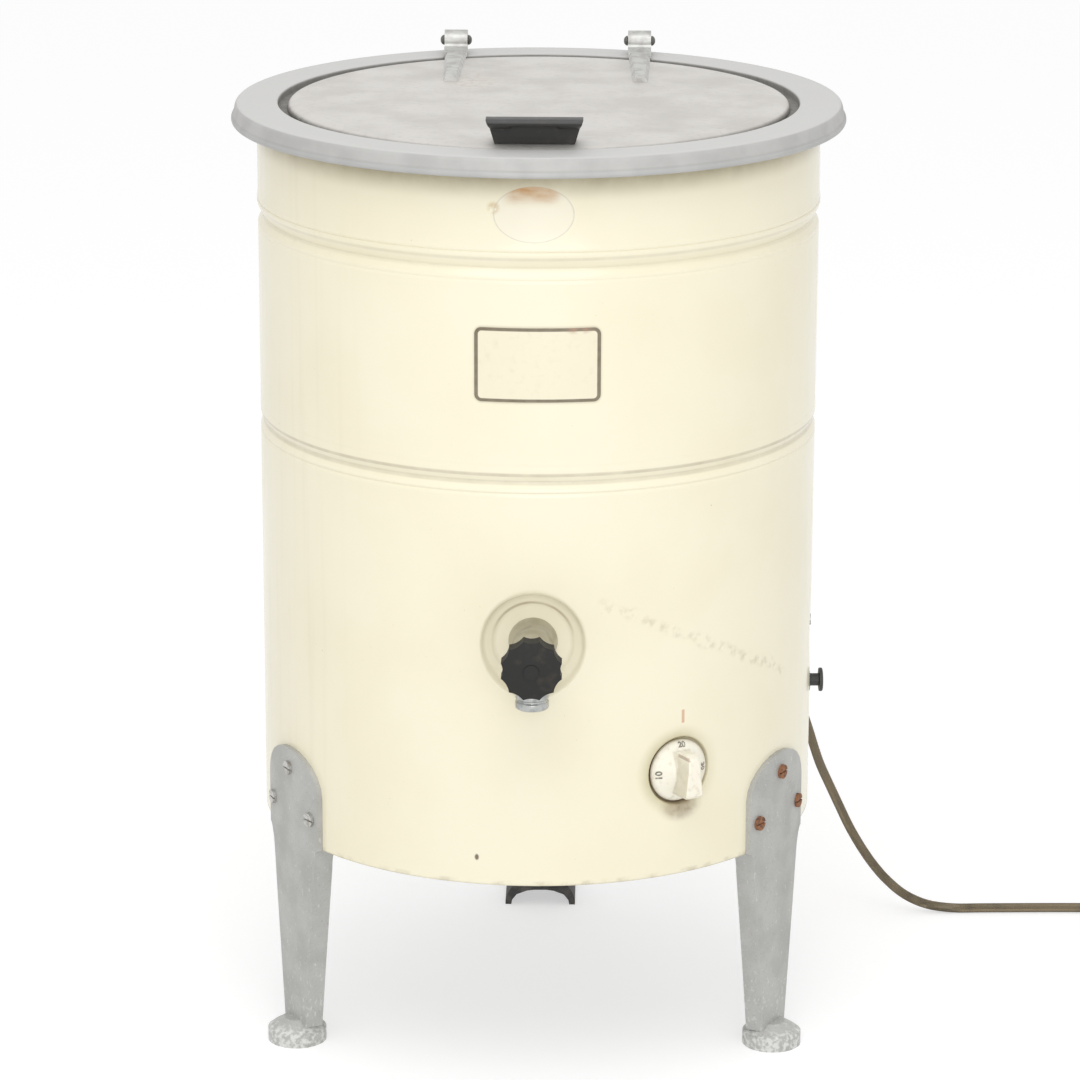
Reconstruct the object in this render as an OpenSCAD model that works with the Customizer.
// Electric wash boiler: an aluminium pan in an enamelled casing on three legs, with a hinged lid,
// a draw-off tap, a heat regulator, a cut-out button and a flex.
// Millimetres. +Z is up, the front faces -Y, and the feet stand on z = 0.

/* [Casing and pan] */
// Radius of the enamelled casing
casing_r = 210; // [205:0.5:220]
// Height of the casing's lower edge above the floor
leg_h = 164.4; // [150:0.1:185]
// Height of the casing's wall
casing_h = 536.4; // [520:0.1:560]
// Thickness of the casing and pan sheet
sheet_t = 1.2; // [1:0.1:1.5]
// Height of the lower swaged seam above the casing's lower edge
low_seam_rise = 306.4; // [290:0.1:320]
// Depth of the lower seam
low_seam_d = 2.8; // [1:0.1:4]
// Height of the upper swaged seam above the casing's lower edge
high_seam_rise = 462.4; // [450:0.1:475]
// Depth of the upper seam
high_seam_d = 5.5; // [2:0.1:6]
// Gap between the pan and the casing's outside
jacket_w = 24; // [22:0.5:26]
// Depth of the pan below its flange
pan_depth = 432; // [425:1:433]
// Radius of the pan's bottom corner
pan_corner_r = 10; // [6:1:12]

/* [Rim and lid] */
// Height of the rim's top above the pan's flange
rim_h = 8; // [7.5:0.1:9]
// Wall of the rim casting
rim_t = 2.5; // [2:0.1:3]
// How far the rim reaches past the casing
rim_overhang = 19; // [17:0.5:22]
// Width of the rim, from its opening to its outer edge
rim_w = 35; // [33:0.5:37]
// Gap between the lid's edge and the rim's opening
lid_gap = 7; // [5:0.5:8]
// Thickness of the lid sheet
lid_t = 1.5; // [1.2:0.1:2]
// Height of the lid's top above the rim's top
lid_stand = 0.4; // [0.2:0.1:0.8]

/* [Lid handle and hinges] */
// Width of the lid handle's lip
handle_w = 69; // [60:1:80]
// Height of the lid handle
handle_h = 20.6; // [18:0.2:26]
// Distance between the hinges
hinge_span = 144; // [120:1:180]
// How far the hinges stand to the right of the middle
hinge_off = 4; // [0:0.5:6]
// Width of a hinge's knuckle
knuckle_w = 18; // [16:0.5:20]
// Radius of a hinge's knuckle
knuckle_r = 8; // [7.5:0.1:8.5]
// Radius of the hinge pin
hinge_pin_r = 2.5; // [2:0.1:2.8]
// Length of a hinge arm on the lid, from the pivot
strap_len = 126; // [110:1:140]
// Thickness of a hinge arm
strap_t = 4.4; // [4:0.1:5]

/* [Tap] */
// Height of the tap above the casing's lower edge
tap_rise = 184.6; // [175:0.1:200]
// Radius of the tap's dish in the casing
dish_r = 38; // [36:0.5:42]
// Depth of the tap's dish
dish_depth = 12; // [11:0.5:13]
// Radius of the tap's dome
dome_r = 18; // [17:0.5:20]
// Radius of the tap's barrel
barrel_r = 14; // [13.5:0.1:15]
// Distance of the handwheel's front from the casing
wheel_reach = 60; // [58:0.5:66]
// Radius of the handwheel
wheel_r = 22.4; // [20:0.1:25]
// Number of scallops round the handwheel
wheel_lobes = 12; // [8:1:16]
// Radius of the tap's spindle
spindle_r = 4; // [3.5:0.1:4.5]
// Radius of the outlet nozzle
nozzle_r = 12.15; // [11:0.05:13]
// Length of the outlet nozzle
nozzle_len = 22; // [18:0.5:28]

/* [Controls and heater] */
// Radius of the heat regulator's knob
knob_r = 23.5; // [20:0.1:24]
// Height of the regulator above the casing's lower edge
knob_rise = 80.1; // [75:0.1:85]
// Angle of the regulator round the casing, from the front towards +X
knob_az = 30.9; // [28:0.1:34]
// Radius of the cut-out button's head
button_r = 9.15; // [9:0.05:11]
// Radius of the cut-out button's stem
stem_r = 4.85; // [4.5:0.05:5.5]
// Travel of the cut-out button
button_travel = 4; // [3:0.1:4.5]
// Height of the cut-out button above the casing's lower edge
button_rise = 89.6; // [85:0.1:92]
// Height of the immersion heater above the casing's lower edge
heater_rise = 138.6; // [136:0.1:145]
// Radius of the heater's recess in the casing
recess_r = 37.5; // [35:0.5:40]
// Angle of the heater and button round the casing, from the front towards +X
side_az = 93; // [90:0.5:96]
// Radius of the heater's loop
element_r = 120; // [100:1:135]
// Radius of the heater's sheath
sheath_r = 4; // [3:0.1:5]

/* [Legs] */
// Angle between a front leg and the front
leg_az = 60; // [56:1:64]
// Half width of a leg where it meets the casing
leg_top_half_w = 40.5; // [38:0.5:44]
// Half width of a leg at its ankle
ankle_half_w = 18; // [16:0.5:19]
// Wall of the leg casting
leg_t = 4; // [3:0.1:5]
// Radius of a foot
foot_r = 22.25; // [21:0.25:25]
// Width of the rear foot's boot
boot_w = 57.6; // [54:0.1:64]
// Height of the boot's sole over its arch, on which the rear foot rests
sole_t = 14; // [14:0.1:15]

/* [Nameplate and flex] */
// Width of the nameplate
plate_w = 90; // [70:1:110]
// Height of the nameplate
plate_h = 54; // [44:1:64]
// Diameter of the flex
flex_d = 7.5; // [6.5:0.1:8]
// Mean radius of the flex's coil
coil_r = 42; // [36:1:50]

/* [Hidden] */
$fn = 96;
// Running clearance on a radius, between a shaft and its bore
run_gap = 0.05;
// Clearance between pieces that are assembled and don't move
fit_gap = 0.2;
// Clearance between curved faces that bear on each other
bed_gap = 0.05;
// Air between a moving piece and what it passes
air = 0.4;

// Heights and radii that follow from the driving sizes
casing_z = leg_h;
casing_top = casing_z + casing_h;
casing_in_r = casing_r - sheet_t;
casing_lip_w = 7;
low_seam_z = casing_z + low_seam_rise;
high_seam_z = casing_z + high_seam_rise;
pan_r = casing_r - jacket_w;
pan_in_r = pan_r - sheet_t;
pan_top = casing_top + sheet_t;
pan_z = pan_top - pan_depth;
rim_top = pan_top + rim_h;
rim_r = casing_r + rim_overhang;
rim_hole_r = rim_r - rim_w;
ledge_t = 2;
ledge_z = pan_top + ledge_t;
lid_r = rim_hole_r - lid_gap;
ledge_in_r = lid_r - 4;
lid_top = rim_top + lid_stand;
lid_in_z = lid_top - lid_t;

tap_z = casing_z + tap_rise;
dish_floor = casing_r - dish_depth;
wheel_front = casing_r + wheel_reach;
wheel_t = 13;
wheel_back = wheel_front - wheel_t;
bonnet_front = wheel_back - 1.5;
bonnet_back = bonnet_front - 5.5;
outlet_bore_r = 8;
branch_r = nozzle_r + 1;
nozzle_axis = bonnet_back - branch_r - 0.2;
seat_z = nozzle_axis - outlet_bore_r - 0.6;
nozzle_top = barrel_r + 2;
wheel_cut_r = 2.25 * PI * wheel_r / wheel_lobes;
wheel_nut_t = 4;
wheel_nut_front = wheel_front + wheel_nut_t;

knob_z = casing_z + knob_rise;
knob_floor = casing_r - 5;
knob_back = knob_floor + air;
switch_spindle_r = 3;
pocket_r = knob_r + 1.5;
button_z = casing_z + button_rise;
bush_r = 9;
bush_front = casing_r + 0.8;
button_t = 2.7;
button_front = bush_front + 3.4 + button_travel + button_t;
heater_z = casing_z + heater_rise;
recess_floor = casing_r - 9;
gland_az = 135;
gland_z = casing_z + 40.6;
gland_tip = casing_r + 26;
flex_r = flex_d / 2;

// Legs
leg_out_r = casing_r + leg_t;
leg_top_z = casing_z + 70.6;
leg_shoulder_z = casing_z + 41;
ankle_z = 20;
knee_z = casing_z - 18.4;
knee_half_w = leg_top_half_w - 6.5;
ankle_r = casing_r + 2;
leg_depth = 14.5;
foot_axis_r = casing_r - 0.4;
foot_top_z = 18;
leg_screw_az = 8.2;
leg_screw_z = [leg_top_z - 15.6, casing_z + 22.6];
legs = [-leg_az, leg_az, 180];
screw_r = 2.5;
hole_r = screw_r + 0.1;

// Hinges and lid handle
pivot_y = lid_r + 8;
pivot_z = lid_top + knuckle_r + 2.1;
hinge_left_x = hinge_off - hinge_span / 2;
hinge_right_x = hinge_off + hinge_span / 2;
slot_w = 8.6;
lug_w = slot_w - 0.6;
lug_r = 4.5;
bracket_t = 1.8;
bracket_y = [pivot_y - 4, pivot_y + 10];
stud_y = pivot_y + 6;
strap_screw_y = [pivot_y - strap_len + 8, pivot_y - strap_len + 66];
handle_back_y = -lid_r + 29;
handle_front_y = -lid_r - 8;
handle_screw_x = 15;
handle_screw_y = -lid_r + 17;

// The row's origin is under the middle of the object's depth
front_reach = wheel_nut_front;
back_reach = foot_axis_r + boot_w / 2;
axis_y = (front_reach - back_reach) / 2;

// Colours
enamel = [0.98, 0.96, 0.86];
aluminium = [0.85, 0.85, 0.84];
casting = [0.69, 0.69, 0.67];
black = [0.10, 0.10, 0.11];
steel = [0.62, 0.62, 0.62];
nickel = [0.60, 0.60, 0.55];
brass = [0.75, 0.62, 0.35];
cream = [0.93, 0.89, 0.76];
rubber = [0.16, 0.15, 0.15];
flex_brown = [0.45, 0.37, 0.25];

// The flex's route from the gland to its coil, and the coil's centre
coil_x = 510;
coil_y = 130;
flex_route = [
    [141, 141, 205], [157, 157, 205], [172, 172, 205], [182.8, 182.1, 203.3], [193.2, 190.4, 197.5],
    [202.4, 195.9, 187.8], [209.9, 198.5, 175.5], [215.9, 199, 162.1], [220.7, 198.1, 148.2],
    [225.1, 196.2, 134.4], [230, 194, 121], [238, 191.5, 104], [246, 189, 87.3], [254, 186.5, 71],
    [263.6, 184, 54.7], [274.4, 181.5, 39.4], [286.5, 179.3, 26], [301, 177.5, 14.5],
    [319, 176.4, 6.8], [340, 176, 3.9], [364, 177, 3.75], [392, 178, 3.75], [422, 179, 3.75],
    [452, 179.5, 3.75], [482, 179.5, 3.75]
];

// ---- Helpers ----

// Moves a piece from the casing's axis to the row's origin
module in_frame() translate([0, axis_y, 0]) children();

// Turns a piece so that its own +Z points out of the casing, at an angle from the front and a height
module facing(az, z) rotate([0, 0, az]) translate([0, 0, z]) rotate([90, 0, 0]) children();

// A disc between two heights
module disc(r, z0, z1) translate([0, 0, z0]) cylinder(r = r, h = z1 - z0);

// A ring between two heights
module ring(r_out, r_in, z0, z1) difference() {
    disc(r_out, z0, z1);
    disc(r_in, z0 - 1, z1 + 1);
}

// A hexagonal nut between two heights, with a bore
module hex_nut(across, bore_r, z0, z1) difference() {
    translate([0, 0, z0]) cylinder(r = across / sqrt(3), h = z1 - z0, $fn = 6);
    disc(bore_r, z0 - 1, z1 + 1);
}

// A solid turned about its own Z from a half section
module turned(section) rotate_extrude() polygon(section);

// Everything inside the casing's upright cylinder of one radius
module upright(r) translate([0, 0, -10]) cylinder(r = r, h = rim_top + 60, $fn = 480);

// A slotted pan-head screw whose head sits on height z and whose shank goes down
module slotted_screw(z, shank_len, head_r = 5.4, head_t = 2.4, shank_r = screw_r) difference() {
    union() {
        disc(head_r, z, z + head_t);
        disc(shank_r, z - shank_len, z + head_t / 2);
    }
    translate([-head_r, -0.6, z + head_t / 2]) cube([2 * head_r, 1.2, head_t]);
}

// A rounded rectangle of a width, a height and a corner radius
module rounded_rect(w, h, r) {
    square([w - 2 * r, h], center = true);
    square([w, h - 2 * r], center = true);
    for (x = [-1, 1], y = [-1, 1]) translate([x * (w / 2 - r), y * (h / 2 - r)]) circle(r = r);
}

function reversed(list) = [for (i = [len(list) - 1 : -1 : 0]) list[i]];
function unit(v) = v / norm(v);
function along(p, i) = unit(p[min(i + 1, len(p) - 1)] - p[max(i - 1, 0)]);
function square_to(n, t) = unit(n - (n * t) * t);
function carried(p, start) = [
    for (i = 0, n = square_to(start, along(p, 0)); i < len(p);
         i = i + 1, n = i < len(p) ? square_to(n, along(p, i)) : n) n
];
function between(a, b, c, d, t) = 0.5 * (2 * b + (c - a) * t + (2 * a - 5 * b + 4 * c - d) * t * t
    + (3 * b - a - 3 * c + d) * t * t * t);
function smooth(p, steps) = concat([
    for (i = [0 : len(p) - 2], s = [0 : steps - 1])
        between(p[max(i - 1, 0)], p[i], p[i + 1], p[min(i + 2, len(p) - 1)], s / steps)
], [p[len(p) - 1]]);

// A round tube swept along points, as one closed polyhedron
module swept(p, r, sides) {
    n = carried(p, [0.31, 0.27, 0.91]);
    rings = [
        for (i = [0 : len(p) - 1], s = [0 : sides - 1])
            p[i] + r * (cos(360 * s / sides) * n[i] + sin(360 * s / sides) * cross(along(p, i), n[i]))
    ];
    sleeve = [
        for (i = [0 : len(p) - 2], s = [0 : sides - 1], half = [0, 1])
            let (a = i * sides + s, b = i * sides + (s + 1) % sides)
                half == 0 ? [a, a + sides, b] : [b, a + sides, b + sides]
    ];
    ends = [[for (s = [0 : sides - 1]) s], [for (s = [sides - 1 : -1 : 0]) (len(p) - 1) * sides + s]];
    polyhedron(rings, concat(sleeve, ends));
}

// ---- Casing, pan and rim ----

// The outside of one swaged seam, from below: a fine crease, a crest, the groove and a rolled upper lip
function seam(z, depth, up, crease, lip) = [
    [casing_r, z - 9.4], [casing_r - crease, z - 8.2], [casing_r, z - 7], [casing_r - 0.12 * depth, z - 5.4],
    [casing_r - 0.85 * depth, z - 1.2], [casing_r - depth, z], [casing_r - 0.85 * depth, z + 1.2],
    [casing_r - 0.12 * depth, z + up - 1.4], [casing_r + lip, z + up + 1.6],
    [casing_r + lip, z + up + 5], [casing_r, z + up + 10]
];
casing_path = concat(
    [[casing_r, casing_z]], seam(low_seam_z, low_seam_d, 6, 0.8, 0.1),
    seam(high_seam_z, high_seam_d, 8, 0.4, 0.6), [[casing_r, casing_top]]
);
casing_back = [for (p = casing_path) [p[0] - sheet_t, min(p[1], casing_top - sheet_t)]];
casing_lip = [[casing_r - casing_lip_w, casing_top], [casing_r - casing_lip_w, casing_top - sheet_t]];

// A round pressed dish: a wall, a sloping step, and a floor with a bore
module dish(r, step_r, floor_r, bore_r) turned([
    [r - sheet_t, casing_r + 1], [r - sheet_t, floor_r + 5], [step_r, floor_r + 2], [step_r - 1.5, floor_r],
    [bore_r, floor_r], [bore_r, floor_r - sheet_t], [step_r, floor_r - sheet_t],
    [step_r + 1.5, floor_r + 1], [r, floor_r + 5 - sheet_t], [r, casing_r + 1]
]);

module casing() color(enamel) in_frame() {
    difference() {
        turned(concat(casing_path, casing_lip, reversed(casing_back)));
        facing(0, tap_z) disc(dish_r - sheet_t / 2, casing_r - 15, casing_r + 5);
        facing(knob_az, knob_z) disc(pocket_r - sheet_t / 2, casing_r - 15, casing_r + 5);
        facing(side_az, heater_z) disc(recess_r - sheet_t / 2, casing_r - 15, casing_r + 5);
        facing(side_az, button_z) disc(bush_r - 1.8, casing_r - 15, casing_r + 5);
        facing(gland_az, gland_z) disc(flex_r + 3.6, casing_r - 15, casing_r + 5);
        for (az = legs) leg_screw_places(az) disc(hole_r, casing_r - 15, casing_r + 5);
    }
    intersection() {
        upright(casing_r - sheet_t / 2);
        facing(0, tap_z) dish(dish_r, 30.5, dish_floor, barrel_r - 3.8);
    }
    intersection() {
        upright(casing_r - sheet_t / 2);
        facing(side_az, heater_z) dish(recess_r, 31, recess_floor, 12);
    }
    intersection() {
        upright(casing_r - sheet_t / 2);
        facing(knob_az, knob_z) difference() {
            disc(pocket_r, knob_floor - sheet_t, casing_r + 1);
            disc(pocket_r - sheet_t, knob_floor, casing_r + 2);
            disc(6.2, knob_floor - 5, casing_r);
        }
    }
}

pan_bend = [for (a = [0 : 10 : 90]) [pan_r - pan_corner_r * (1 - sin(a)), pan_z + pan_corner_r * (1 - cos(a))]];
pan_corner_in_r = pan_corner_r - sheet_t;
pan_bend_in = [
    for (a = [0 : 10 : 90])
        [pan_r - pan_corner_r + pan_corner_in_r * sin(a), pan_z + pan_corner_r - pan_corner_in_r * cos(a)]
];

module pan() color(aluminium) in_frame() difference() {
    turned(concat([[0, pan_z]], pan_bend, [
        [pan_r, casing_top], [casing_r - 2.5, casing_top], [casing_r - 2.5, pan_top], [pan_in_r, pan_top]
    ], reversed(pan_bend_in), [[0, pan_z + sheet_t]]));
    facing(0, tap_z) disc(tap_shank_r + fit_gap, pan_r - 20, pan_r + 10);
    facing(side_az, heater_z) disc(heater_spigot_r + fit_gap, pan_r - 20, pan_r + 10);
}

// The rim's outside from its top crease down to its rolled lower edge, and its inside back up
rim_skirt_z = casing_top - 5.2;
rim_side = [
    [rim_r - 6, rim_top], [rim_r - 4.3, rim_top - 0.5], [rim_r - 3.3, rim_top - 1.6],
    [rim_r - 2.7, rim_top - 3.2], [rim_r - 1.7, rim_top - 8.6], [rim_r - 0.6, rim_top - 9.8], [rim_r, rim_top - 11.2],
    [rim_r, rim_top - 12.6], [rim_r - 0.6, rim_top - 13.8], [rim_r - 1.6, rim_skirt_z]
];
rim_side_in = [
    [rim_r - 3.6, rim_skirt_z], [rim_r - 4.2, rim_top - 9], [rim_r - 5.2, rim_top - 3.9],
    [rim_r - 6.6, rim_top - rim_t]
];

module rim() color(aluminium) in_frame() difference() {
    turned(concat([
        [ledge_in_r, pan_top], [ledge_in_r, ledge_z], [rim_hole_r, ledge_z], [rim_hole_r, rim_top - 1.5],
        [rim_hole_r + 0.5, rim_top - 0.5], [rim_hole_r + 1.5, rim_top]
    ], rim_side, rim_side_in, [
        [rim_hole_r + 12, rim_top - rim_t], [rim_hole_r + 12, pan_top], [rim_hole_r + 9, pan_top],
        [rim_hole_r + 9, rim_top - rim_t], [rim_hole_r + rim_t, rim_top - rim_t], [rim_hole_r + rim_t, pan_top]
    ]));
    for (x = [hinge_left_x, hinge_right_x]) translate([x, stud_y, 0]) disc(hole_r, rim_top - 10, rim_top + 5);
}

// ---- Base ----

base_flange_z = casing_z + 2;
base_ring_r = casing_in_r - fit_gap;
base_ring_in_r = casing_r - 15;
base_screw_r = casing_r - 9;
base_screw_az = [30, 150, 210, 330];
vent_r = 130;

module base_ring() color(steel) in_frame() difference() {
    turned([
        [base_ring_in_r, base_flange_z], [base_ring_r, base_flange_z], [base_ring_r, base_flange_z + 14],
        [base_ring_r - sheet_t, base_flange_z + 14], [base_ring_r - sheet_t, base_flange_z + sheet_t],
        [base_ring_in_r, base_flange_z + sheet_t]
    ]);
    for (a = base_screw_az) rotate([0, 0, a]) translate([0, -base_screw_r, 0])
        disc(hole_r, casing_z - 5, casing_z + 10);
}

module base_plate() color(steel) in_frame() difference() {
    disc(casing_r - 3, base_flange_z - sheet_t, base_flange_z);
    for (a = base_screw_az) rotate([0, 0, a]) translate([0, -base_screw_r, 0])
        disc(hole_r, casing_z - 5, casing_z + 10);
    for (a = [0 : 45 : 315]) rotate([0, 0, a]) translate([0, -vent_r, 0])
        disc(9, casing_z - 5, casing_z + 10);
}

module base_screws() color(steel) in_frame() for (a = base_screw_az) rotate([0, 0, a])
    translate([0, -base_screw_r, base_flange_z - sheet_t]) {
        rotate([180, 0, 0]) slotted_screw(0, 7);
        hex_nut(8, screw_r + 0.05, 2 * sheet_t, 2 * sheet_t + 3);
    }

// ---- Legs ----

module leg_screw_places(az) {
    facing(az, leg_screw_z[0]) children();
    for (side = [-1, 1]) facing(az + side * leg_screw_az, leg_screw_z[1]) children();
}

// Half width of the leg's shank at a height, and the radius of its front there
function shank_half_w(z) = ankle_half_w + (knee_half_w - ankle_half_w) * (z - ankle_z) / (knee_z - ankle_z);
function shank_front(z) = ankle_r + (leg_out_r - 1 - ankle_r) * (z - ankle_z) / (knee_z - ankle_z);

shank_foot_z = 14;
leg_outline = concat(
    [[shank_half_w(shank_foot_z), shank_foot_z], [knee_half_w, knee_z]],
    [for (a = [15 : 15 : 90])
        [knee_half_w + (leg_top_half_w - knee_half_w) * (1 - cos(a)), knee_z + (casing_z - knee_z) * sin(a)]],
    [for (a = [0 : 15 : 90]) [leg_top_half_w * cos(a), leg_shoulder_z + (leg_top_z - leg_shoulder_z) * sin(a)]]
);
leg_section = [
    [shank_front(shank_foot_z) - leg_depth, shank_foot_z], [shank_front(shank_foot_z), shank_foot_z],
    [leg_out_r - 1, knee_z], [leg_out_r, casing_z], [leg_out_r, leg_top_z + 1],
    [casing_r + bed_gap, leg_top_z + 1],
    [casing_r + bed_gap, casing_z], [leg_out_r - 16, casing_z], [leg_out_r - 16, knee_z]
];
hollow_top_z = casing_z - leg_t;
hollow_outline = [
    [shank_half_w(ankle_z) - leg_t, ankle_z + 4], [knee_half_w - leg_t, knee_z],
    [knee_half_w - leg_t, hollow_top_z]
];
hollow_section = [
    [casing_r - 30, ankle_z], [shank_front(ankle_z) - leg_t, ankle_z], [shank_front(knee_z) - leg_t, knee_z],
    [leg_out_r - 1 - leg_t, hollow_top_z], [casing_r - 30, hollow_top_z]
];

// A slice of a turned section, cut to an outline that is seen from outside and mirrored about its middle
module curved_plate(section, half_outline) intersection() {
    turned(section);
    facing(0, 0) translate([0, 0, casing_r - 40]) linear_extrude(60)
        polygon(concat(half_outline, [for (p = reversed(half_outline)) [-p[0], p[1]]]));
}

// The foot: a flat disc with a domed top. The rear one is smaller and stands on the boot's sole
rear_foot_r = ankle_half_w - 0.5;
front_foot = [0, foot_r, 10, 13];
rear_foot = [sole_t, rear_foot_r, sole_t + 1.5, foot_top_z - 0.5];
function foot_section(foot, base, grow) = [
    [0, base], [foot[1] + grow, base], [foot[1] + grow, foot[2] + grow], [foot[1] - 4 + grow, foot[3] + grow],
    [foot[1] - 12 + grow, foot_top_z + grow], [0, foot_top_z + grow]
];

module leg(az, foot) color(casting) in_frame() rotate([0, 0, az]) difference() {
    union() {
        curved_plate(leg_section, leg_outline);
        translate([0, -foot_axis_r, 0]) turned(foot_section(foot, foot[0], 0));
    }
    curved_plate(hollow_section, hollow_outline);
    leg_screw_places(0) disc(hole_r, casing_r - 5, leg_out_r + 5);
}

module leg_screws(az) color(steel) in_frame() leg_screw_places(az) {
    slotted_screw(leg_out_r, 9.5);
    hex_nut(8, screw_r + 0.05, casing_in_r - 3.4, casing_in_r - 0.1);
}

// The boot: an arch seen from the front, whose sides splay to the floor, and a saddle seen from the side
boot_half_w = boot_w / 2;
boot_neck = ankle_half_w + 1.8;
boot_outside = [
    [boot_half_w, 0], [boot_half_w, 3], [boot_half_w - 1.2, 8], [boot_half_w - 4, sole_t - 1.2],
    [boot_half_w - 7.4, sole_t + 2.4], [boot_neck, sole_t + 4.2], [boot_neck, sole_t + 8]
];
boot_arch = [
    [boot_half_w - 4.6, -1], [boot_half_w - 5.6, sole_t - 10], [boot_half_w - 9.3, sole_t - 5.6],
    [boot_half_w - 17.8, sole_t - 2.6], [5, sole_t - 1.9]
];
boot_side = [
    [-boot_half_w, -1], [-boot_half_w, 5], [-boot_half_w + 5.8, sole_t + 1], [-boot_half_w + 12.8, sole_t + 4.6],
    [-8, sole_t + 9], [16, sole_t + 9], [16, sole_t + 4.4], [21, sole_t], [23, 5], [23, -1]
];

// The slot that the shank stands in. The shank's back is round about the drum's axis, so its corners lie deepest
boot_slot_half_w = shank_half_w(sole_t + 8) + 0.3;
boot_slot_front = shank_front(sole_t + 8) + 0.4;
boot_slot_back = sqrt(pow(shank_front(shank_foot_z) - leg_depth, 2) - pow(boot_slot_half_w, 2)) - 0.5;

// An outline that is mirrored about its middle, seen from the front and drawn out over a length along Y
module arch(half, length) rotate([90, 0, 0]) linear_extrude(length, center = true)
    polygon(concat(half, [for (p = reversed(half)) [-p[0], p[1]]]));

module rear_foot_boot() color(rubber) in_frame() rotate([0, 0, 180]) difference() {
    translate([0, -foot_axis_r, 0]) intersection() {
        arch(boot_outside, 3 * boot_w);
        rotate([90, 0, 90]) linear_extrude(2 * boot_w, center = true) polygon(boot_side);
    }
    translate([0, -foot_axis_r, 0]) arch(boot_arch, 4 * boot_w);
    translate([0, -foot_axis_r, 0]) turned(foot_section(rear_foot, sole_t - bed_gap, fit_gap));
    translate([-boot_slot_half_w, -boot_slot_front, sole_t - bed_gap])
        cube([2 * boot_slot_half_w, boot_slot_front - boot_slot_back, 20]);
}

// ---- Lid, handle and hinges ----

module lid() color(aluminium) in_frame() difference() {
    turned([
        [0, lid_in_z], [lid_r - 9, lid_in_z], [lid_r - 4.5, lid_in_z - 1], [lid_r - lid_t, lid_in_z - 3.4],
        [lid_r - lid_t, ledge_z + 0.3], [lid_r, ledge_z + 0.3], [lid_r, lid_in_z - 3],
        [lid_r - 1, lid_top - 2.5], [lid_r - 4, lid_top - 0.8], [lid_r - 9, lid_top], [0, lid_top]
    ]);
    for (x = [hinge_left_x, hinge_right_x], y = strap_screw_y) translate([x, y, 0])
        disc(hole_r, lid_top - 9, lid_top + 9);
    for (x = [-handle_screw_x, handle_screw_x]) translate([x, handle_screw_y, 0])
        disc(hole_r, lid_top - 9, lid_top + 9);
}

handle_foot_w = handle_w - 12;

module lid_handle() color(black) in_frame() difference() {
    intersection() {
        translate([0, 0, lid_top]) rotate([90, 0, 0]) linear_extrude(lid_r + 20) polygon([
            [-handle_foot_w / 2, 0], [handle_foot_w / 2, 0], [handle_w / 2, handle_h], [-handle_w / 2, handle_h]
        ]);
        translate([-handle_w / 2, 0, lid_top]) rotate([90, 0, 90]) linear_extrude(handle_w) polygon([
            [handle_back_y, 0], [handle_front_y + 18, 0], [handle_front_y + 16, handle_h * 0.55],
            [handle_front_y + 5, handle_h * 0.72], [handle_front_y, handle_h * 0.86],
            [handle_front_y + 1.5, handle_h], [handle_front_y + 13, handle_h], [handle_back_y, handle_h * 0.5]
        ]);
    }
    for (x = [-handle_screw_x, handle_screw_x]) translate([x, handle_screw_y, 0])
        disc(hole_r, lid_top - 5, lid_top + 12);
}

module lid_handle_screws() color(steel) in_frame() for (x = [-handle_screw_x, handle_screw_x])
    translate([x, handle_screw_y, lid_in_z]) rotate([180, 0, 0]) slotted_screw(0, lid_t + 10);

// The arm's side view up to the knuckle, about the pivot
arm_base = lid_top - pivot_z;
knuckle_neck = [
    [-knuckle_r - 13, arm_base], [-knuckle_r + 1.5, arm_base], [-4, 1 - knuckle_r],
    [0, 2 - knuckle_r], [0, knuckle_r - 1], [-4, knuckle_r - 1.1], [-knuckle_r - 0.6, arm_base + strap_t + 2],
    [-knuckle_r - 6, arm_base + strap_t + 1.5], [-knuckle_r - 13, arm_base + strap_t - 0.5]
];
arm_tip_w = 11.5;
arm_slope = 2.2;

// A tapering bar with sloping sides, from the lid up, between the knuckle and the tip
module arm_bar(y0, w0, y1, w1) {
    polyhedron([
        for (level = [[0, 0], [arm_slope, strap_t]]) each [
            [-w0 / 2 + level[0], y0, lid_top + level[1]], [w0 / 2 - level[0], y0, lid_top + level[1]],
            [w1 / 2 - level[0], y1, lid_top + level[1]], [-w1 / 2 + level[0], y1, lid_top + level[1]]
        ]
    ], [[3, 2, 1, 0], [4, 5, 6, 7], [1, 5, 4, 0], [2, 6, 5, 1], [3, 7, 6, 2], [0, 4, 7, 3]]);
}

module hinge_arm(x) color(casting) in_frame() translate([x, 0, 0]) difference() {
    union() {
        translate([-knuckle_w / 2, pivot_y, pivot_z]) rotate([90, 0, 90]) linear_extrude(knuckle_w)
            polygon(knuckle_neck);
        translate([0, pivot_y, pivot_z]) rotate([0, 90, 0]) disc(knuckle_r, -knuckle_w / 2, knuckle_w / 2);
        arm_bar(pivot_y - knuckle_r - 2, knuckle_w - 0.6, pivot_y - strap_len, arm_tip_w);
    }
    translate([0, pivot_y, pivot_z]) {
        rotate([0, 90, 0]) disc(hinge_pin_r + 0.02, -knuckle_w, knuckle_w);
        translate([-slot_w / 2, -5.3, -20]) cube([slot_w, 25.3, 25.3]);
        translate([-slot_w / 2, 2, -20]) cube([slot_w, 18, 40]);
    }
    for (y = strap_screw_y) translate([0, y, 0]) disc(hole_r, lid_top - 5, lid_top + strap_t - 0.8);
}

module hinge_arm_screws() color(steel) in_frame() for (x = [hinge_left_x, hinge_right_x], y = strap_screw_y)
    translate([x, y, lid_in_z]) rotate([180, 0, 0]) slotted_screw(0, lid_t + strap_t - 1, 4.4, 1.8);

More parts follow.
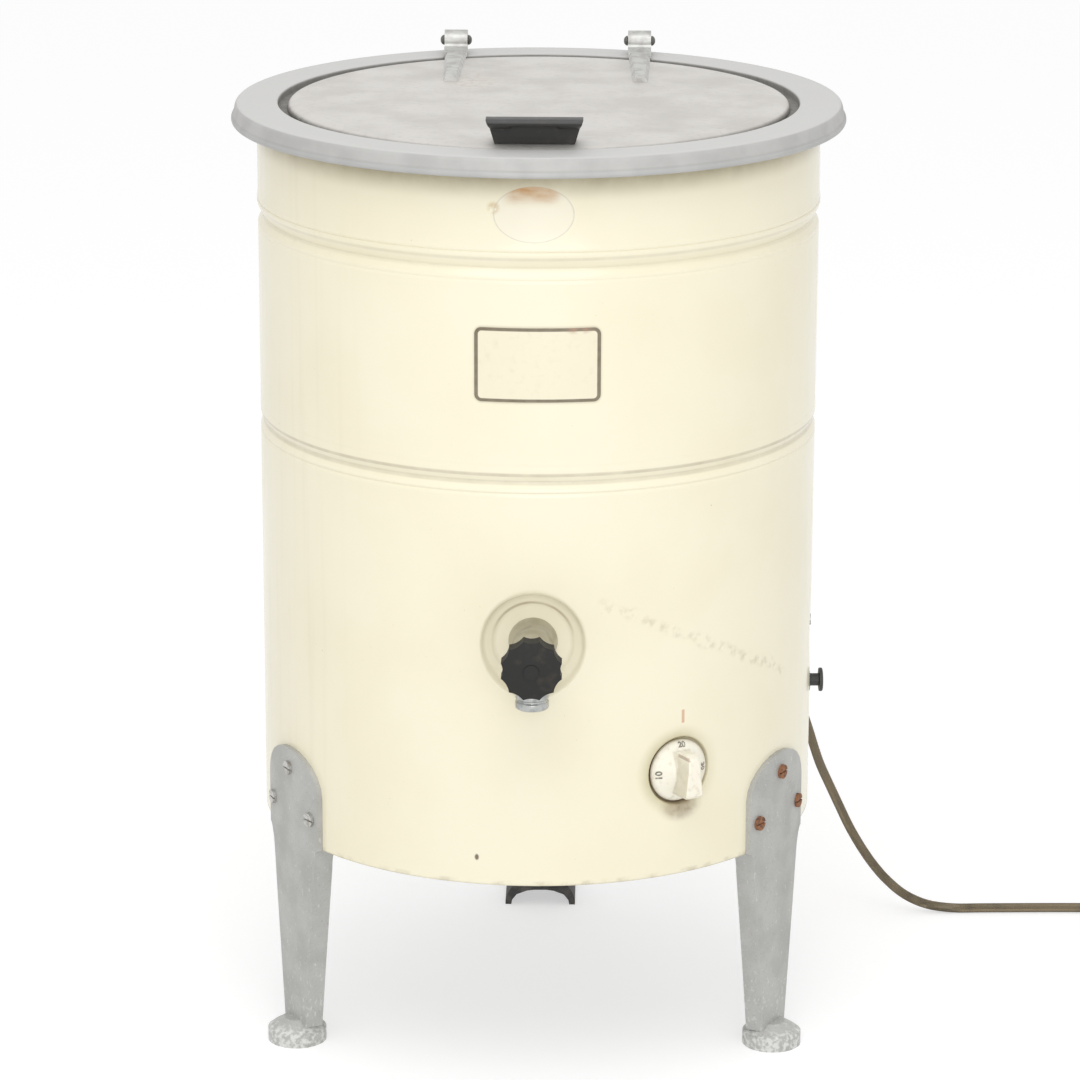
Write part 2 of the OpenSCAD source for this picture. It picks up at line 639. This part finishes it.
// A domed pin head, as a half section from its flat tip to its rim
pin_head_r = 4;
pin_head_t = 3.2;
pin_half = knuckle_w / 2 + fit_gap;
function pin_head(end) = [
    for (a = [15 : 15 : 90]) [pin_head_r * sin(a), end * (pin_half + pin_head_t * cos(a))]
];
function pin_tip(end) = [0, end * (pin_half + pin_head_t * cos(15))];

module hinge_pin(x) color(steel) in_frame() translate([x, pivot_y, pivot_z]) rotate([0, 90, 0])
    turned(concat([pin_tip(-1)], pin_head(-1), [[hinge_pin_r, -pin_half], [hinge_pin_r, pin_half]],
        reversed(pin_head(1)), [pin_tip(1)]));

module hinge_bracket(x) color(casting) in_frame() translate([x, 0, 0]) difference() {
    union() {
        translate([-knuckle_w / 2 + 1, bracket_y[0], rim_top])
            cube([knuckle_w - 2, bracket_y[1] - bracket_y[0], bracket_t]);
        translate([-lug_w / 2, pivot_y - 3, rim_top + bracket_t / 2])
            cube([lug_w, 6, pivot_z - rim_top - bracket_t / 2]);
        translate([0, pivot_y, pivot_z]) rotate([0, 90, 0]) disc(lug_r, -lug_w / 2, lug_w / 2);
        translate([0, stud_y, 0]) disc(screw_r, rim_top - rim_t - 4.5, rim_top + 1);
    }
    translate([0, pivot_y, pivot_z]) rotate([0, 90, 0]) disc(hinge_pin_r + run_gap, -knuckle_w, knuckle_w);
}

module hinge_bracket_nuts() color(steel) in_frame() for (x = [hinge_left_x, hinge_right_x])
    translate([x, stud_y, rim_top - rim_t]) hex_nut(8, screw_r + 0.05, -3.5, 0);

// ---- Tap ----

tap_shank_r = 10;
seat_bore_r = 7;
chamber_r = barrel_r - 3;
tap_inner_z = pan_in_r - 12;

module tap_body() color(nickel) in_frame() facing(0, tap_z) difference() {
    union() {
        turned([
            [0, tap_inner_z], [tap_shank_r, tap_inner_z], [tap_shank_r, dish_floor], [dome_r, dish_floor],
            [dome_r - 0.6, dish_floor + 3], [dome_r - 2, dish_floor + 6], [barrel_r + 0.8, dish_floor + 9],
            [barrel_r, dish_floor + 10.5], [barrel_r, bonnet_back], [0, bonnet_back]
        ]);
        translate([0, 0, nozzle_axis]) rotate([90, 0, 0]) disc(branch_r, 0, nozzle_top);
    }
    disc(seat_bore_r, tap_inner_z - 1, seat_z + 1);
    disc(chamber_r, seat_z, bonnet_back + 1);
    translate([0, 0, nozzle_axis]) rotate([90, 0, 0]) disc(outlet_bore_r, 0, nozzle_top + 1);
}

module tap_spacer() color(brass) in_frame() difference() {
    facing(0, tap_z) ring(tap_shank_r + 6, tap_shank_r + fit_gap, pan_r - 4, dish_floor - sheet_t);
    upright(pan_r + 0.05);
}

module tap_washer() color(rubber) in_frame() intersection() {
    facing(0, tap_z) ring(tap_shank_r + 7, tap_shank_r + fit_gap, pan_in_r - 3.5, pan_in_r + 2);
    upright(pan_in_r - 0.05);
}

module tap_back_nut() color(brass) in_frame() facing(0, tap_z)
    hex_nut(30, tap_shank_r + 0.1, pan_in_r - 9.5, pan_in_r - 3.5);

module tap_nozzle() color(steel) in_frame() facing(0, tap_z) translate([0, 0, nozzle_axis])
    rotate([90, 0, 0]) turned([
        [8.6, nozzle_top], [nozzle_r, nozzle_top], [nozzle_r, nozzle_top + 3],
        [nozzle_r + 1.2, nozzle_top + 3.6], [nozzle_r + 1.2, nozzle_top + 5.4], [nozzle_r, nozzle_top + 6],
        [nozzle_r, nozzle_top + nozzle_len],
        [8.6, nozzle_top + nozzle_len]
    ]);

module bonnet_nut() color(nickel) in_frame() facing(0, tap_z) difference() {
    union() {
        translate([0, 0, bonnet_back]) cylinder(r = barrel_r, h = bonnet_front - bonnet_back, $fn = 6);
        disc(chamber_r - 0.1, bonnet_back - 4, bonnet_back + 1);
    }
    disc(spindle_r + run_gap, bonnet_back - 5, bonnet_front + 1);
}

valve_t = 3;
valve_z = seat_z + run_gap;
jumper_top = valve_z + valve_t + 3;
collar_z = jumper_top + run_gap;

module valve_washer() color(rubber) in_frame() facing(0, tap_z)
    ring(chamber_r - 1.8, 3.1, valve_z, valve_z + valve_t);

module valve_jumper() color(brass) in_frame() facing(0, tap_z) turned([
    [0, valve_z - 8], [3, valve_z - 8], [3, valve_z + valve_t], [chamber_r - 2.5, valve_z + valve_t],
    [chamber_r - 2.5, jumper_top], [0, jumper_top]
]);

wheel_bore_r = spindle_r - 1;

module tap_spindle() color(brass) in_frame() facing(0, tap_z) turned([
    [0, collar_z], [chamber_r - 3, collar_z], [chamber_r - 3, collar_z + 1.5], [spindle_r, collar_z + 1.5],
    [spindle_r, wheel_back], [wheel_bore_r, wheel_back], [wheel_bore_r, wheel_front + wheel_nut_t - 1],
    [0, wheel_front + wheel_nut_t - 1]
]);

module handwheel() color(black) in_frame() facing(0, tap_z) difference() {
    turned([
        [0, wheel_back], [wheel_r, wheel_back], [wheel_r, wheel_front], [15, wheel_front + 1.7],
        [8, wheel_nut_front - 1.2], [5.6, wheel_nut_front - 0.7], [5.6, wheel_front], [0, wheel_front]
    ]);
    for (i = [0 : wheel_lobes - 1]) rotate([0, 0, 360 * i / wheel_lobes])
        translate([0, wheel_r - 2 + wheel_cut_r, 0])
            disc(wheel_cut_r, wheel_back - 1, wheel_nut_front);
    ring(wheel_r - 7, 8, wheel_back - 1, wheel_back + 8);
    disc(wheel_bore_r + 0.05, wheel_back - 1, wheel_front + 1);
}

module handwheel_nut() color(steel) in_frame() facing(0, tap_z) difference() {
    disc(5.5, wheel_front, wheel_nut_front);
    disc(wheel_bore_r + 0.05, wheel_front - 1, wheel_front + wheel_nut_t - 0.95);
}

// ---- Regulator ----

knob_edge_t = 3.7;
knob_cone_t = 12;
knob_grip_t = 26;
switch_front = knob_floor - sheet_t;

module regulator_knob() color(cream) in_frame() facing(knob_az, knob_z) difference() {
    union() {
        turned([
            [0, knob_back], [knob_r, knob_back], [knob_r, knob_back + knob_edge_t - 1.2],
            [knob_r - 1.2, knob_back + knob_edge_t], [8, knob_back + knob_cone_t - 0.5],
            [0, knob_back + knob_cone_t]
        ]);
        hull() {
            translate([-6.75, 7 - knob_r, knob_back + knob_edge_t]) cube([13.5, 2 * knob_r - 14, 1]);
            translate([-6, 9 - knob_r, knob_back + knob_grip_t - 1]) cube([12, 2 * knob_r - 18, 1]);
        }
    }
    disc(switch_spindle_r + 0.05, knob_back - 1, knob_back + 12);
    disc(9.5, knob_back - 1, knob_back + 3);
}

module switch_spindle() color(brass) in_frame() facing(knob_az, knob_z)
    disc(switch_spindle_r, switch_front - 8, knob_back + 11.8);

module switch_nut() color(brass) in_frame() facing(knob_az, knob_z) {
    hex_nut(12, switch_spindle_r + 2.6, knob_floor, knob_floor + 2);
}

module heat_switch() color(black) in_frame() facing(knob_az, knob_z) difference() {
    union() {
        translate([-21, -19, switch_front - 26]) cube([42, 38, 26]);
        disc(switch_spindle_r + 2.5, switch_front - 1, knob_floor + 2.6);
        for (x = [-12, 0, 12]) translate([x - 2, -22, switch_front - 20]) cube([4, 6, 6]);
    }
    disc(switch_spindle_r + run_gap, switch_front - 9, knob_floor + 4);
}

// ---- Cut-out ----

collar_r = 7;
stem_back = casing_r - 13;
spring_r = 5.6;
cutout_front = stem_back - 7;

module reset_button() color(black) in_frame() facing(side_az, button_z) turned([
    [0, stem_back - 6], [2.4, stem_back - 6], [2.4, stem_back], [collar_r, stem_back],
    [collar_r, stem_back + 2],
    [stem_r, stem_back + 2], [stem_r, button_front - button_t], [button_r, button_front - button_t],
    [button_r, button_front - 0.6], [button_r - 0.6, button_front], [0, button_front]
]);

module button_bush() color(steel) in_frame() facing(side_az, button_z) difference() {
    union() {
        disc(bush_r - 2, stem_back + 4.6, casing_r + 0.5);
        disc(bush_r, casing_r + 0.05, bush_front);
    }
    disc(stem_r + run_gap, stem_back, bush_front + 1);
}

spring_wire_r = 0.5;
spring_turns = 5;
spring_len = 8.4;
spring_path = [
    for (a = [0 : 30 : 360 * spring_turns])
        [spring_r * cos(a), spring_r * sin(a), stem_back - 0.7 - spring_len * a / (360 * spring_turns)]
];

module button_spring() color(steel) in_frame() facing(side_az, button_z) swept(spring_path, spring_wire_r, 6);

cutout_top = 10;
cutout_foot = 13;

module cutout_body() color(black) in_frame() facing(side_az, button_z) difference() {
    union() {
        translate([-15, -cutout_foot, cutout_front - 22]) cube([30, cutout_foot + cutout_top, 22]);
        for (y = [-cutout_foot, cutout_top - 2.4]) translate([-15, y, cutout_front - 1])
            cube([30, 2.4, casing_in_r - cutout_front + 0.3]);
    }
    disc(spring_r + 1.2, cutout_front - 3 - button_travel, cutout_front + 1);
    disc(2.6, cutout_front - 14, cutout_front + 1);
}

// ---- Heater ----

heater_spigot_r = 14.5;
head_front = recess_floor - sheet_t - 0.2;
head_t = 6;
element_x = 9;

module heater_gasket() color(rubber) in_frame() difference() {
    facing(side_az, heater_z) ring(24, heater_spigot_r + fit_gap, pan_r - 6, head_front - head_t);
    upright(pan_r + 0.05);
}

module heater_head() color(brass) in_frame() facing(side_az, heater_z) difference() {
    union() {
        disc(25, head_front - head_t, head_front);
        disc(heater_spigot_r, pan_in_r - 12, head_front - 1);
        disc(11.5, head_front - 1, head_front + 4);
    }
    for (x = [-element_x, element_x]) translate([x, 0, 0]) disc(sheath_r + 0.5, pan_in_r - 13, head_front - 3);
    disc(hole_r, head_front - 2, head_front + 5);
}

module heater_back_nut() color(brass) in_frame() facing(side_az, heater_z)
    hex_nut(36, heater_spigot_r + 0.1, pan_in_r - 7.5, pan_in_r - 1.5);

// The loop's cold tails are thicker, and each meets the arc where their centres cross
tail_r = sheath_r + 0.4;
element_reach = sqrt(element_r * element_r - element_x * element_x);
element_gap = asin(element_x / element_r);

module heater_element() color(steel) in_frame() {
    difference() {
        translate([0, 0, heater_z]) rotate_extrude() translate([element_r, 0]) circle(r = sheath_r, $fn = 32);
        rotate([0, 0, side_az]) translate([0, 0, heater_z - 10]) linear_extrude(20) polygon([
            [0, 0], [-sin(element_gap) * 200, -cos(element_gap) * 200],
            [sin(element_gap) * 200, -cos(element_gap) * 200]
        ]);
    }
    for (x = [-element_x, element_x]) facing(side_az, heater_z) translate([x, 0, 0])
        disc(tail_r, element_reach - sheath_r - 0.6, head_front - 4);
}

cap_r = 29;
cap_t = 8;

module terminal_cap() color(black) in_frame() facing(side_az, heater_z) difference() {
    turned([
        [0, recess_floor], [cap_r, recess_floor], [cap_r, recess_floor + 4], [cap_r - 3, recess_floor + 6.5],
        [0, recess_floor + cap_t]
    ]);
    disc(12, recess_floor - 1, recess_floor + 5);
    disc(hole_r, recess_floor, recess_floor + 12);
}

module terminal_cap_screw() color(steel) in_frame() facing(side_az, heater_z)
    slotted_screw(recess_floor + cap_t, cap_t + 1, 4.5, 1.8);

// ---- Wiring ----

block_r = casing_r - 52;
block_z = base_flange_z;

module terminal_block() color(black) in_frame() rotate([0, 0, gland_az]) {
    translate([-25, -block_r - 11, block_z]) cube([50, 22, 14]);
    for (x = [-16, 0, 16]) translate([x, -block_r, block_z + 12]) cylinder(r = 5, h = 6);
}

wire_r = 1.8;
core_r = casing_in_r - 9.9;
cutout_back_r = stem_back - 19;
switch_in_r = switch_front - 26;

// A wire through round points about the casing's axis, given as angle, radius and height
function polar(p) = [p[1] * sin(p[0]), -p[1] * cos(p[0]), p[2]];
module wire(points) swept(smooth([for (p = points) polar(p)], 3), wire_r, 8);

// Angle and radius of a place beside a piece's middle, from that piece's angle, radius and the offset
function beside(az, r, x) = [az + atan(x / r), sqrt(r * r + x * x)];

// Two points above a post of the block, so that a wire comes down on it
function on_post(x) = let (p = beside(gland_az, block_r, x))
    [[p[0], p[1], block_z + 27], [p[0], p[1], block_z + 18.4]];

// Two points below a tag of the switch, so that a wire goes up to it
function on_tag(x) = let (p = beside(knob_az, switch_front - 17, x))
    [[p[0], p[1], knob_z - 34], [p[0], p[1], knob_z - 22.5]];

// Two points at the block's end, so that a wire leaves it squarely
function from_block(r, z) = let (p = beside(gland_az, r, -25.8), q = beside(gland_az, r, -34))
    [[p[0], p[1], block_z + z], [q[0], q[1], block_z + z]];

module wiring() color(flex_brown) in_frame() {
    wire(concat([[134.4, core_r, gland_z + 1.2], [133.8, core_r - 10.9, gland_z + 1],
        [130.5, block_r + 10, gland_z - 5]], on_post(-16)));
    wire(concat([[135.6, core_r, gland_z + 1.2], [136.2, core_r - 10.9, gland_z + 1],
        [139.5, block_r + 10, gland_z - 5]], on_post(16)));
    wire(concat([[135, core_r, gland_z - 2.2], [135, core_r - 10.9, gland_z - 2.5], [135, block_r + 10, gland_z - 7]],
        on_post(0)));
    wire(concat(from_block(block_r - 7, 5), [[108, block_r - 33, block_z + 6], [75, block_r - 40, block_z + 12],
        [45, switch_in_r - 27.8, knob_z - 55]], on_tag(12)));
    wire(concat(from_block(block_r + 7, 9), [[108, block_r - 8, block_z + 13], [75, block_r - 16, block_z + 24],
        [42, switch_in_r - 12.8, knob_z - 48]], on_tag(-12)));
    wire(concat(from_block(block_r, 7), [[110, block_r + 10, block_z + 16], [99, cutout_back_r - 2, button_z - 45],
        [side_az, cutout_back_r, button_z - 27], [side_az, cutout_back_r, button_z - cutout_foot - 0.5]]));
    wire([[side_az, stem_back - 10, button_z + cutout_top + 0.5], [side_az, stem_back - 7, button_z + 16],
        [side_az, stem_back - 1.5, button_z + 19.5], [side_az, stem_back - 0.4, heater_z - 25.4]]);
}

// ---- Gland, nameplate and flex ----

module cord_gland() color(rubber) in_frame() facing(gland_az, gland_z) difference() {
    turned([
        [0, casing_in_r - 3.8], [flex_r + 6, casing_in_r - 3.8], [flex_r + 6, casing_in_r - 0.5],
        [flex_r + 3.4, casing_in_r - 0.5], [flex_r + 3.4, casing_r + 0.05], [flex_r + 6, casing_r + 0.05],
        [flex_r + 5.4, casing_r + 3], [flex_r + 3.2, casing_r + 4.5], [flex_r + 1.5, gland_tip], [0, gland_tip]
    ]);
    disc(flex_r + 0.08, casing_in_r - 10, gland_tip + 1);
}

module nameplate() color(cream) in_frame() intersection() {
    ring(casing_r + plate_t, casing_r + bed_gap, casing_z, casing_top);
    facing(plate_az, plate_z) translate([0, 0, casing_r - 20]) linear_extrude(30)
        rounded_rect(plate_w, plate_h, plate_corner_r);
}

plate_az = 0.8;
plate_z = casing_z + 393.1;
plate_t = 0.6;
plate_corner_r = 5;

module flex_cord() color(flex_brown) in_frame() swept(flex_route, flex_r, 10);

coil_layers = 2;
coil_lanes = 3;
coil_half_w = coil_lanes * flex_r;
coil_out_r = coil_r + coil_half_w;
coil_h = coil_layers * flex_d;
tie_t = 1.2;
tie_half_w = coil_half_w + air;

module flex_coil() color(flex_brown) in_frame() translate([coil_x, coil_y, 0])
    ring(coil_out_r, coil_r - coil_half_w, 0, coil_h);

// A spring clip over the coil's bundle
module coil_tie() color(black) in_frame() translate([coil_x - coil_r, coil_y, 0]) rotate([90, 0, 0])
    linear_extrude(6, center = true) difference() {
        translate([-tie_half_w - tie_t, 0]) square([2 * (tie_half_w + tie_t), coil_h + tie_t + 0.2]);
        translate([-tie_half_w, -1]) square([2 * tie_half_w, coil_h + 1.2]);
    }

// The plug lies where the flex leaves the coil's outer lane
sleeve_r = flex_r + 3;
plug_sleeve_y = 32;
plug_x = coil_x + coil_out_r - flex_r;
sleeve_in_x = coil_out_r - flex_r - sleeve_r;
plug_y = coil_y - sqrt(coil_out_r * coil_out_r - sleeve_in_x * sleeve_in_x) - 0.4 - plug_sleeve_y;

module plug_body() color(black) in_frame() translate([plug_x, plug_y, 0]) difference() {
    union() {
        linear_extrude(20) polygon([[-25, -26], [25, -26], [25, 14], [12, 26], [-12, 26], [-25, 14]]);
        translate([0, plug_sleeve_y, 9]) rotate([90, 0, 0]) disc(sleeve_r, 0, 14);
    }
    translate([0, plug_sleeve_y + 1, 9]) rotate([90, 0, 0]) disc(flex_r + 0.1, 0, 13);
}

module plug_pins() color(brass) in_frame() translate([plug_x, plug_y, 20]) {
    translate([-2, 4, 0]) cube([4, 8, 18]);
    for (x = [-11, 11]) translate([x - 3.2, -16, 0]) cube([6.4, 4, 16]);
}

casing();
pan();
rim();
base_ring();
base_plate();
base_screws();
leg(legs[0], front_foot);  // leg_front_left
leg(legs[1], front_foot);  // leg_front_right
leg(legs[2], rear_foot);  // leg_rear
leg_screws(legs[0]);  // leg_screws_left
leg_screws(legs[1]);  // leg_screws_right
leg_screws(legs[2]);  // leg_screws_rear
rear_foot_boot();
lid();
lid_handle();
lid_handle_screws();
hinge_arm(hinge_left_x);  // hinge_arm_left
hinge_arm(hinge_right_x);  // hinge_arm_right
hinge_arm_screws();
hinge_pin(hinge_left_x);  // hinge_pin_left
hinge_pin(hinge_right_x);  // hinge_pin_right
hinge_bracket(hinge_left_x);  // hinge_bracket_left
hinge_bracket(hinge_right_x);  // hinge_bracket_right
hinge_bracket_nuts();
tap_body();
tap_spacer();
tap_washer();
tap_back_nut();
tap_nozzle();
bonnet_nut();
valve_jumper();
valve_washer();
tap_spindle();
handwheel();
handwheel_nut();
regulator_knob();
switch_spindle();
switch_nut();
heat_switch();
reset_button();
button_bush();
button_spring();
cutout_body();
heater_head();
heater_gasket();
heater_back_nut();
heater_element();
terminal_cap();
terminal_cap_screw();
terminal_block();
wiring();
cord_gland();
nameplate();
flex_cord();
flex_coil();
coil_tie();
plug_body();
plug_pins();
